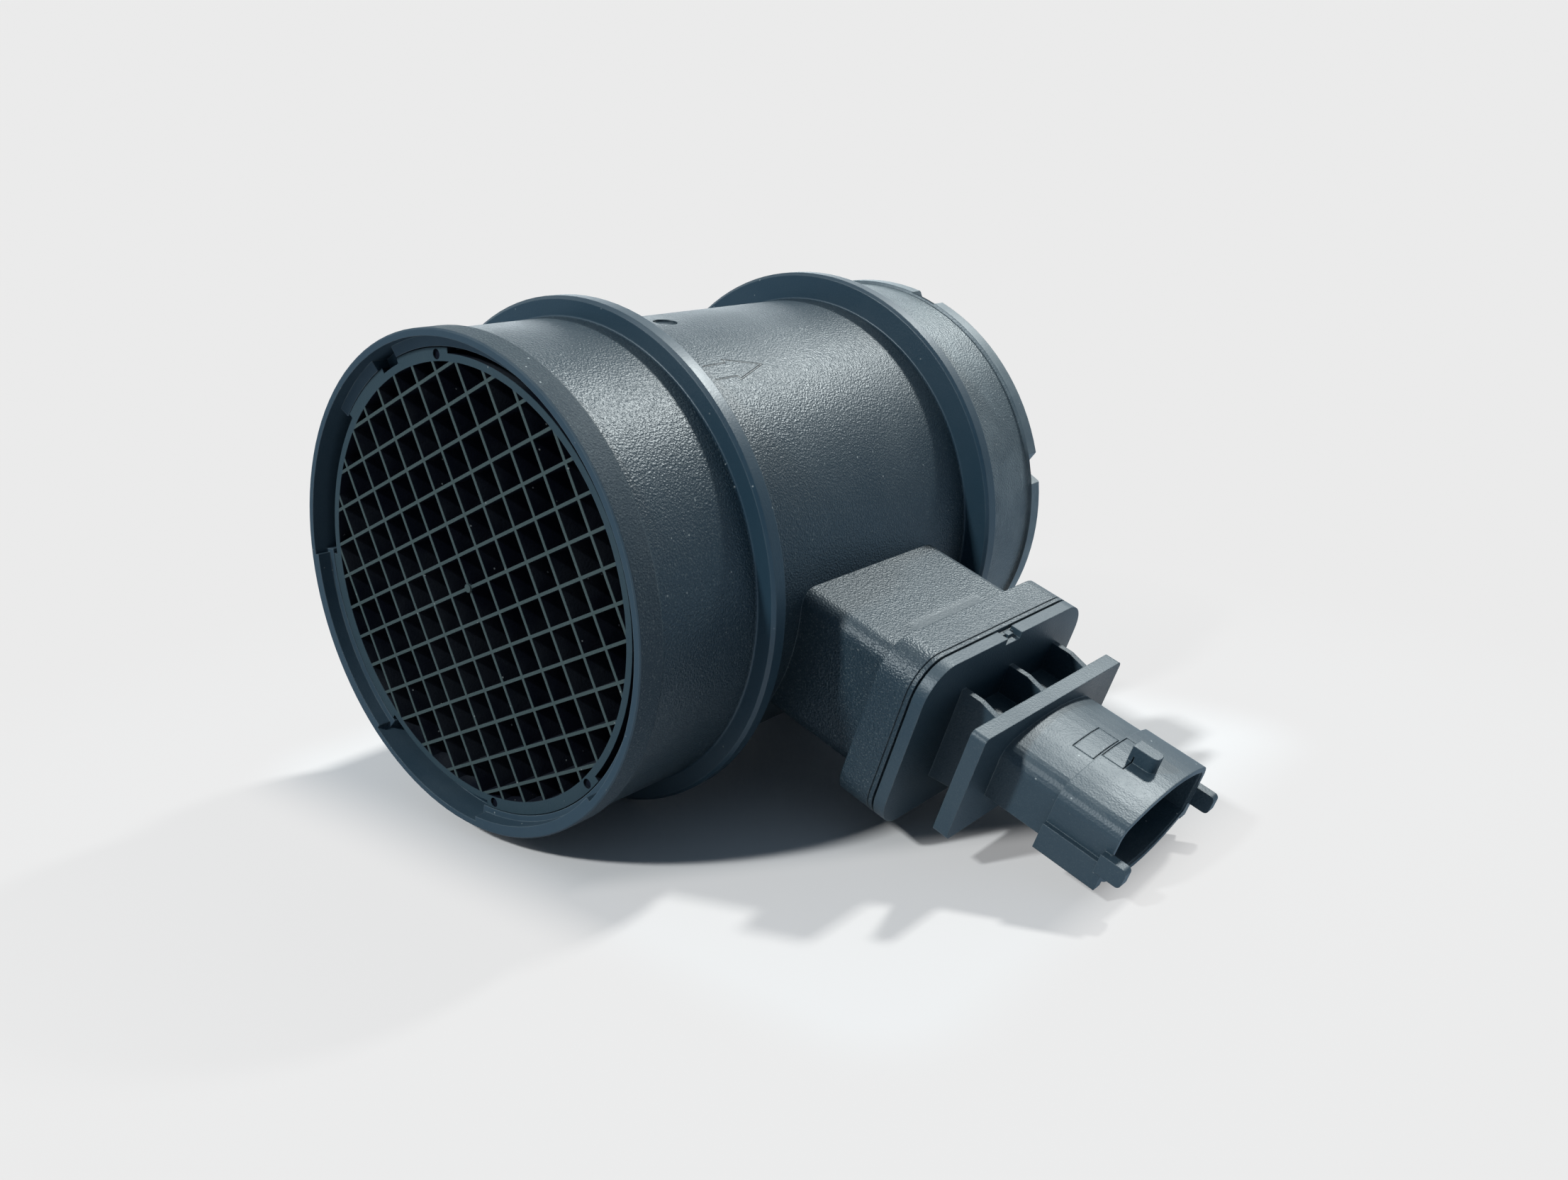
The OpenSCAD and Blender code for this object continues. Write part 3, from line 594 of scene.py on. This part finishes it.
        height = nodes.product(grain.outputs["Height"], nodes.ramp(grained, 0.0, 1.0, self.polished_relief, 1.0))
        bump = nodes.add("ShaderNodeBump")
        nodes.feed(bump, Strength=1.0, Distance=self.grain_relief * self.skin.value, Height=height,
                   Normal=bevel.outputs["Normal"])
        if marks is not None:
            grain_normal = bump.outputs["Normal"]
            bump = nodes.add("ShaderNodeBump", invert=True)
            nodes.feed(bump, Strength=1.0, Distance=self.mark_depth, Height=marks, Normal=grain_normal)
        nodes.put(shader.inputs["Normal"], bump.outputs["Normal"])
        return made


@dataclass(frozen=True)
class HousingFinish(PlasticFinish):
    """Tube, in millimetres: grained barrel and boss, polished lips and flanges, the flow arrow."""

    polished: tuple[Span, ...] = ((24.9, 28.7), (84.9, 88.7), (105.4, 120.0))
    polished_r: Span = (38.0, 44.6)
    # Blue-black for the polished rings and the mouth: painted bluish light, not the plastic's own colour.
    ring_painted_blue_light: Colour = (0.013, 0.034, 0.052)
    inlet_face: Span = (-1.0, 0.4)
    mouth_r: float = 39.35
    mouth_depth: float = 9.0
    bore_r: float = 37.6
    band_edge: float = 0.3
    boss_band: tuple[Span, Span] = ((50.5, 55.2), (46.4, 68.2))
    boss_edge: float = 1.5
    boss_shine: float = 0.75
    arm_dip: Span = (0.93234, 0.36158)
    # From here on, the outlet spigot gets a hose's scuffs and a pale haze that is partly painted highlight.
    outlet_scuffed_and_highlit: Span = (88.4, 88.8)
    spigot_skin: float = 38.6
    scuff_lines: Cloud = Cloud(120.0, 3.0, 0.7, (0.6, 0.68))
    scuff_stretch: Direction = (1.0, 9.0, 1.0)
    scuff_and_highlight_patches: Cloud = Cloud(75.0, 5.0, 0.65, (0.35, 0.7))
    scuff_share: float = 0.5
    scuff_and_highlight_haze: Span = (0.3, 0.6)
    inlet_lip: Span = (4.8, 5.0)
    lip_dullness: float = 0.3
    worn_r: Span = (44.2, 44.8)
    boss_wear: float = 0.2
    barrel_r: float = 38.2
    arrow_angle: float = 54.5
    arrow: tuple[Stroke, ...] = (
        Stroke(1.63, 35.7, 0.0, 5.08), Stroke(1.63, 40.78, 0.84, 0.0), Stroke(2.47, 40.75, -2.47, 7.47))
    arrow_line: Span = (0.09, 0.21)
    arrow_depth: float = 0.7

    @staticmethod
    def _band(nodes: Nodes, effects: Effects, value: object, limits: Span, edge: float) -> Output:
        """Places the band group between two values.

        Args:
            nodes: the material's nodes.
            effects: the shared node groups.
            value: the value to test, in metres.
            limits: the band's two ends, in millimetres.
            edge: how far its ends fade, in millimetres.

        Returns:
            The mask's output.
        """
        band = nodes.add("ShaderNodeGroup", node_tree=effects.band)
        nodes.feed(band, Value=value, Low=limits[0] * MM, High=limits[1] * MM, Soft=edge * MM)
        return band.outputs["Mask"]

    def _rings(self, nodes: Nodes, place: object, effects: Effects) -> Output:
        """Finds the polished flanges, the outlet lip, the inlet's face and the mouth.

        Args:
            nodes: the material's nodes.
            place: the Object coordinates.
            effects: the shared node groups.

        Returns:
            The mask's output.
        """
        _, y, _ = nodes.split(place)
        radius = nodes.axis_distance(place)
        ring = self._band(nodes, effects, radius, self.polished_r, self.band_edge)
        flanges = [nodes.product(self._band(nodes, effects, y, limits, self.band_edge), ring)
                   for limits in self.polished]
        face = self._band(nodes, effects, y, self.inlet_face, self.band_edge)
        mouth = nodes.product(nodes.calc("LESS_THAN", radius, self.mouth_r * MM),
                              nodes.calc("LESS_THAN", y, self.mouth_depth * MM))
        return nodes.total(*flanges, face, mouth)

    def bare(self, nodes: Nodes, place: object, effects: Effects) -> object:
        """Finds the polished rings, the bore and the band on top of the boss.

        Args:
            nodes: the material's nodes.
            place: the Object coordinates.
            effects: the shared node groups.

        Returns:
            A mask, 1 where the surface is polished.
        """
        x, y, z = nodes.split(place)
        cosine, sine = self.arm_dip
        along_arm = nodes.calc("SUBTRACT", nodes.product(x, cosine), nodes.product(z, sine))
        boss = nodes.product(self._band(nodes, effects, along_arm, self.boss_band[0], self.boss_edge),
                             self._band(nodes, effects, y, self.boss_band[1], self.boss_edge), self.boss_shine)
        bore = nodes.calc("LESS_THAN", nodes.axis_distance(place), self.bore_r * MM)
        return nodes.total(boss, bore, self._rings(nodes, place, effects))

    def tinted(self, nodes: Nodes, place: object, colour: object, effects: Effects) -> object:
        """Paints the polished rings and the mouth blue-black as painted bluish light, and adds a hose's scuffs on the
        outlet spigot with a pale haze that is partly painted highlight.

        Args:
            nodes: the material's nodes.
            place: the Object coordinates.
            colour: the plastic's colour so far.
            effects: the shared node groups.

        Returns:
            The colour's output.
        """
        # Painted bluish light on the flanges, the outlet lip, the inlet's face and the mouth.
        colour = nodes.blend(self._rings(nodes, place, effects), colour, self.ring_painted_blue_light)
        _, y, _ = nodes.split(place)
        lines = nodes.clouded(nodes.stretched(place, self.scuff_stretch), self.scuff_lines)
        patches = nodes.clouded(place, self.scuff_and_highlight_patches)
        # Hose scuffs, plus a pale haze over the whole outlet spigot that is partly painted highlight.
        rubbed = nodes.calc("ADD", nodes.product(lines, patches, self.scuff_share),
                            nodes.ramp(patches, 0.0, 1.0, *self.scuff_and_highlight_haze))
        behind = nodes.ramp(y, *(limit * MM for limit in self.outlet_scuffed_and_highlit))
        outside = nodes.calc("GREATER_THAN", nodes.axis_distance(place), self.spigot_skin * MM)
        return nodes.blend(nodes.product(rubbed, behind, outside), colour, self.worn_colour)

    def roughened(self, nodes: Nodes, place: object) -> object:
        """Makes the inlet lip dull.

        Args:
            nodes: the material's nodes.
            place: the Object coordinates.

        Returns:
            What is added to the roughness.
        """
        _, y, _ = nodes.split(place)
        return nodes.ramp(y, *(limit * MM for limit in self.inlet_lip), self.lip_dullness, 0.0)

    def worn_edge(self, nodes: Nodes, place: object, bevel: bpy.types.Node) -> Output:
        """Wears the rings of the tube more than the boss.

        Args:
            nodes: the material's nodes.
            place: the Object coordinates.
            bevel: the Bevel node that rounds the edges.

        Returns:
            The mask's output.
        """
        edge = super().worn_edge(nodes, place, bevel)
        inner, outer = (limit * MM for limit in self.worn_r)
        return nodes.product(edge, nodes.ramp(nodes.axis_distance(place), inner, outer, 1.0, self.boss_wear))

    def marks(self, nodes: Nodes, place: object, effects: Effects) -> object:
        """Draws the outline of the arrow that shows which way the air flows.

        Args:
            nodes: the material's nodes.
            place: the Object coordinates.
            effects: the shared node groups.

        Returns:
            A mask, 1 in the arrow's line.
        """
        x, y, z = nodes.split(place)
        angle = nodes.calc("SUBTRACT", nodes.calc("ARCTAN2", z, x), math.radians(self.arrow_angle))
        across = nodes.calc("ABSOLUTE", nodes.product(angle, self.barrel_r * MM))
        nearest: object = 1.0
        for part in self.arrow:
            stroke = nodes.add("ShaderNodeGroup", node_tree=effects.stroke)
            nodes.feed(stroke, Across=across, Along=y, Start_Across=part.across * MM, Start_Along=part.along * MM,
                       Step_Across=part.step_across * MM, Step_Along=part.step_along * MM)
            nearest = nodes.calc("MINIMUM", nearest, stroke.outputs["Distance"])
        line = nodes.ramp(nearest, *(limit * MM for limit in self.arrow_line), 1.0, 0.0)
        skin = (self.barrel_r - self.arrow_depth) * MM
        return nodes.product(line, nodes.calc("GREATER_THAN", nodes.axis_distance(place), skin))


@dataclass(frozen=True)
class GridFinish(PlasticFinish):
    """Flow grid, in millimetres: bar fronts, painted shade on the bars behind them in the cells, a blue-black ring
    around.
    """

    bar_front: Span = (2.43, 2.52)
    ring_r: Span = (34.9, 35.3)
    ring: Colour = (0.03, 0.05, 0.062)
    # Near-black painted shade on the bars behind their fronts, inside the cells.
    cell_painted_shade: Colour = (0.002, 0.003, 0.008)

    def tinted(self, nodes: Nodes, place: object, colour: object, effects: Effects) -> object:
        """Darkens the ring, and paints shade on the bars behind their fronts, deep in the cells.

        Args:
            nodes: the material's nodes.
            place: the Object coordinates.
            colour: the plastic's colour so far.
            effects: the shared node groups; not used here.

        Returns:
            The colour's output.
        """
        _, y, _ = nodes.split(place)
        around = nodes.ramp(nodes.axis_distance(place), *(limit * MM for limit in self.ring_r))
        behind = nodes.ramp(y, *(limit * MM for limit in self.bar_front))
        # Behind the bar fronts the colour turns to painted shade.
        return nodes.blend(behind, nodes.blend(around, colour, self.ring), self.cell_painted_shade)


@dataclass(frozen=True)
class PlainFinish:
    """Metal, ceramic, rubber and the other finishes of the inner pieces."""

    name: str
    base: Colour
    roughness: float
    metallic: float = 0.0
    grain_size: float = 1500.0
    relief: float = 0.00001
    cloud_density: float = 0.2
    cloud_detail: float = 4.0
    darkened: float = 0.8
    colour_cut: Span = (0.35, 0.65)
    dulled: float = 0.1
    dull_cut: Span = (0.3, 0.7)

    def material(self, effects: Effects) -> bpy.types.Material:
        """Builds the material.

        Args:
            effects: the shared node groups.

        Returns:
            The finished material.
        """
        made = bpy.data.materials.new(self.name)
        made.use_nodes = True
        nodes = Nodes(made.node_tree)
        shader = made.node_tree.nodes["Principled BSDF"]
        place = nodes.add("ShaderNodeTexCoord").outputs["Object"]
        cloud = nodes.noise(place, self.grain_size * self.cloud_density, self.cloud_detail)
        dark = tuple(self.darkened * part for part in self.base)
        nodes.put(shader.inputs["Base Color"], nodes.blend(nodes.ramp(cloud, *self.colour_cut), dark, self.base))
        rough = nodes.ramp(cloud, *self.dull_cut, self.roughness, self.roughness + self.dulled)
        nodes.put(shader.inputs["Roughness"], rough)
        shader.inputs["Metallic"].default_value = self.metallic
        grain = nodes.add("ShaderNodeGroup", node_tree=effects.grain)
        nodes.feed(grain, Vector=place, Size=self.grain_size)
        bump = nodes.add("ShaderNodeBump")
        nodes.feed(bump, Strength=1.0, Distance=self.relief, Height=grain.outputs["Height"])
        nodes.put(shader.inputs["Normal"], bump.outputs["Normal"])
        return made


HOUSING = HousingFinish("housing_plastic", (0.011, 0.025, 0.036), (0.07, 0.088, 0.095), 0.43, Skin.SPARK_ERODED, 0.06)
# The grid's worn colour is darker than the grid, so its edge mask darkens the bars' edges instead of paling them.
GRID = GridFinish("grid_plastic", (0.046, 0.065, 0.065), (0.1, 0.125, 0.115), 0.72, Skin.SATIN, 0.07, wear=1.0,
                  worn_colour=(0.012, 0.018, 0.024), specular=0.12, edge_round=0.00012)
CONNECTOR = PlasticFinish("connector_plastic", (0.018, 0.037, 0.052), (0.06, 0.078, 0.086), 0.47, Skin.SATIN, 0.12)
COVER = PlasticFinish("cover_plastic", (0.02, 0.026, 0.03), (0.05, 0.06, 0.06), 0.45, Skin.SMOOTH, 0.05)
HOLDER = PlasticFinish("holder_plastic", (0.03, 0.03, 0.035), (0.06, 0.06, 0.06), 0.45, Skin.SMOOTH, 0.0)
SEAL = PlainFinish("seal_rubber", (0.012, 0.012, 0.013), 0.6)
PLATE = PlainFinish("base_metal", (0.75, 0.76, 0.78), 0.35, 1.0)
BOARD = PlainFinish("board_ceramic", (0.84, 0.85, 0.81), 0.5)
CHIP = PlainFinish("chip_resin", (0.03, 0.03, 0.033), 0.6)
CAPACITOR = PlainFinish("capacitor_ceramic", (0.6, 0.48, 0.35), 0.4)
SILICON = PlainFinish("sensing_silicon", (0.3, 0.28, 0.36), 0.12, 0.6)
PIN = PlainFinish("pin_metal", (0.78, 0.76, 0.7), 0.25, 1.0)
BOND = PlainFinish("bond_metal", (0.8, 0.8, 0.8), 0.3, 1.0)
BEAD = PlainFinish("bead_glass", (0.12, 0.07, 0.05), 0.08)
LEAD = PlainFinish("lead_metal", (0.7, 0.7, 0.7), 0.3, 1.0)
FINISHES = (HOUSING, GRID, CONNECTOR, COVER, HOLDER, SEAL, PLATE, BOARD, CHIP, CAPACITOR, SILICON, PIN, BOND,
            BEAD, LEAD)


@dataclass
class Dresser:
    """Gives every node of the frame the finish of its slot."""

    effects: Effects

    def dress(self) -> None:
        """Assigns one material to each node by the record's slots."""
        finishes = {finish.name: finish.material(self.effects) for finish in FINISHES}
        for row in frame["record"]["subparts"]:
            node = frame["nodes"][row["node"]]
            node.data.materials.clear()
            node.data.materials.append(finishes[row["material_slot"]])
            log.info("dressed %s as %s", row["node"], row["material_slot"])


@dataclass(frozen=True)
class Lamp:
    """Soft rectangular lamp that faces the part, in millimetres and watts."""

    name: str
    towards: Direction
    distance: float
    size: Span
    power: float
    colour: Colour

    def place(self, aim: Vector) -> None:
        """Makes the lamp.

        Args:
            aim: the point that it faces, in millimetres.
        """
        data = bpy.data.lights.new(self.name, "AREA")
        data.shape = "RECTANGLE"
        data.size, data.size_y = (side * MM for side in self.size)
        data.energy, data.color = self.power, self.colour
        lamp = bpy.data.objects.new(self.name, data)
        bpy.context.scene.collection.objects.link(lamp)
        direction = Vector(self.towards).normalized()
        lamp.location = (aim + direction * self.distance) * MM
        lamp.rotation_euler = direction.to_track_quat("Z", "Y").to_euler()


@dataclass(frozen=True)
class FloorFade:
    """How the floor turns into the background around the part, in millimetres on the floor."""

    footprint: tuple[Span, Span] = ((-45.0, 76.0), (6.0, 112.0))
    near: Span = (0.0, 22.0)
    near_share: float = 0.88
    far: Span = (30.0, 120.0)
    front_slope: float = 0.8
    front_start: float = 18.0
    front_width: float = 8.0
    front_share: float = 0.35

    def share(self, nodes: Nodes) -> Output:
        """Measures how far a point lies outside the footprint, or to the right of its slanted front.

        Args:
            nodes: the floor's nodes.

        Returns:
            The background's share, 0 under the part and 1 far from it.
        """
        x, y, _ = nodes.split(nodes.add("ShaderNodeTexCoord").outputs["Object"])
        squares = []
        for value, (low, high) in zip((x, y), self.footprint):
            off = nodes.calc("ABSOLUTE", nodes.calc("SUBTRACT", value, (low + high) / 2 * MM))
            off = nodes.calc("MAXIMUM", nodes.calc("SUBTRACT", off, (high - low) / 2 * MM), 0.0)
            squares.append(nodes.product(off, off))
        gap = nodes.calc("SQRT", nodes.calc("ADD", *squares))
        near = nodes.ramp(gap, *(limit * MM for limit in self.near), 0.0, self.near_share)
        far = nodes.ramp(gap, *(limit * MM for limit in self.far), 0.0, 1.0 - self.near_share)
        beyond = nodes.calc("SUBTRACT", x, nodes.product(y, self.front_slope))
        start = self.front_start * MM
        end = start + self.front_width * math.hypot(1.0, self.front_slope) * MM
        front = nodes.ramp(beyond, start, end, 0.0, self.front_share)
        return nodes.calc("MAXIMUM", front, nodes.calc("ADD", near, far, True))


@dataclass
class Studio:
    """Floor, lamps, world and camera, in millimetres and degrees."""

    azimuth: float = 40.22
    elevation: float = 16.33
    roll: float = -1.51
    distance: float = 230.0
    aim: Direction = (27.55, 46.04, -6.22)
    lens: float = 31.34
    sensor: float = 36.0
    clip: Span = (0.01, 20.0)
    lamps: tuple[Lamp, ...] = (
        Lamp("key_lamp", (0.12, 0.64, 0.76), 1500.0, (110.0, 110.0), 19.5, (0.93, 1.0, 1.0)),
        Lamp("front_lamp", (-0.15, -0.75, 0.68), 1500.0, (120.0, 120.0), 19.0, (0.86, 0.96, 1.0)),
        Lamp("back_panel", (-0.62, 0.73, 0.28), 900.0, (700.0, 300.0), 1.6, (0.9, 0.97, 1.0)))
    pale: Colour = (0.83, 0.83, 0.83)
    pale_side: Direction = (-0.5, 0.6, 0.62)
    pale_span: Span = (-0.3, 0.9)
    room_back: Colour = (0.66, 0.77, 0.83)
    room_front: Colour = (0.04, 0.14, 0.25)
    room_light: Colour = (0.11, 0.16, 0.215)
    floor_half: float = 4000.0
    floor_colour: Colour = (0.74, 0.68, 0.655)
    floor_roughness: float = 0.9
    floor_specular: float = 0.1
    floor_gloss: Colour = (0.4, 0.62, 0.83)
    floor_fade: FloorFade = FloorFade()

    def build(self) -> None:
        """Makes the camera, lamps, world and floor."""
        self._camera()
        for lamp in self.lamps:
            lamp.place(Vector(self.aim))
        self._world()
        self._floor()
        log.info("studio ready")

    def _axes(self) -> tuple[Vector, Vector, Vector]:
        """Works out the camera's axes.

        Returns:
            The directions right, up and back.
        """
        azimuth, elevation, roll = (math.radians(angle) for angle in (self.azimuth, self.elevation, self.roll))
        back = Vector((math.sin(azimuth) * math.cos(elevation), -math.cos(azimuth) * math.cos(elevation),
                       math.sin(elevation)))
        level = Vector((math.cos(azimuth), math.sin(azimuth), 0))
        upright = back.cross(level)
        right = math.cos(roll) * level + math.sin(roll) * upright
        return right, back.cross(right), back

    def _camera(self) -> None:
        """Places the camera where the photo was taken from."""
        right, up, back = self._axes()
        data = bpy.data.cameras.new("camera")
        data.lens, data.sensor_width = self.lens, self.sensor
        data.clip_start, data.clip_end = self.clip
        camera = bpy.data.objects.new("camera", data)
        bpy.context.scene.collection.objects.link(camera)
        camera.location = (Vector(self.aim) + back * self.distance) * MM
        camera.rotation_euler = Matrix((right, up, back)).transposed().to_euler()
        bpy.context.scene.camera = camera

    @staticmethod
    def _rays(nodes: Nodes) -> tuple[Output, Output]:
        """Tells the camera's rays from mirrored ones.

        Args:
            nodes: the nodes of the world or the floor.

        Returns:
            A mask of camera rays, and one of glossy and transmission rays.
        """
        path = nodes.add("ShaderNodeLightPath").outputs
        return path[Ray.CAMERA.value], nodes.total(path[Ray.GLOSSY.value], path[Ray.TRANSMISSION.value])

    def _world(self) -> None:
        """Makes the world pale for the camera, paler behind than in front for the gloss, and dim as a light."""
        world = bpy.data.worlds.new("world")
        bpy.context.scene.world = world
        world.use_nodes = True
        nodes = Nodes(world.node_tree)
        seen, mirrored = self._rays(nodes)
        side = nodes.dot(nodes.add("ShaderNodeTexCoord").outputs["Generated"], self.pale_side)
        room = nodes.blend(nodes.ramp(side, *self.pale_span), self.room_front, self.room_back)
        light = nodes.blend(mirrored, self.room_light, room)
        nodes.put(world.node_tree.nodes["Background"].inputs["Color"], nodes.blend(seen, light, self.pale))
        bpy.context.scene.view_settings.view_transform = "Standard"

    def _floor(self) -> None:
        """Makes the pale floor, which keeps the shadow and fades into the background."""
        mesh = bpy.data.meshes.new("floor")
        shape = bmesh.new()
        bmesh.ops.create_grid(shape, x_segments=1, y_segments=1, size=self.floor_half * MM)
        bmesh.ops.translate(shape, verts=shape.verts, vec=(0, 0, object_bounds()[0].z))
        shape.to_mesh(mesh)
        shape.free()
        floor = bpy.data.objects.new("floor", mesh)
        bpy.context.scene.collection.objects.link(floor)
        mesh.materials.append(self._floor_material())
        floor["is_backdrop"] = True

    def _floor_material(self) -> bpy.types.Material:
        """Mixes the lit floor with the background's glow.

        Returns:
            The finished material.
        """
        made = bpy.data.materials.new("floor")
        made.use_nodes = True
        nodes = Nodes(made.node_tree)
        shader = made.node_tree.nodes["Principled BSDF"]
        shader.inputs["Base Color"].default_value = (*self.floor_colour, 1)
        shader.inputs["Roughness"].default_value = self.floor_roughness
        shader.inputs["Specular IOR Level"].default_value = self.floor_specular
        seen, mirrored = self._rays(nodes)
        glow = nodes.add("ShaderNodeEmission")
        nodes.feed(glow, Color=nodes.blend(mirrored, self.pale, self.floor_gloss), Strength=1.0)
        mix = nodes.add("ShaderNodeMixShader")
        nodes.put(mix.inputs[0], nodes.product(self.floor_fade.share(nodes), nodes.total(seen, mirrored)))
        nodes.put(mix.inputs[1], shader.outputs[0])
        nodes.put(mix.inputs[2], glow.outputs[0])
        nodes.put(made.node_tree.nodes["Material Output"].inputs["Surface"], mix.outputs[0])
        return made


def main() -> None:
    """Builds the scene in order."""
    logging.basicConfig(level=logging.INFO)
    Studio().build()
    Dresser(Effects()).dress()


if __name__ == "__main__":
    main()
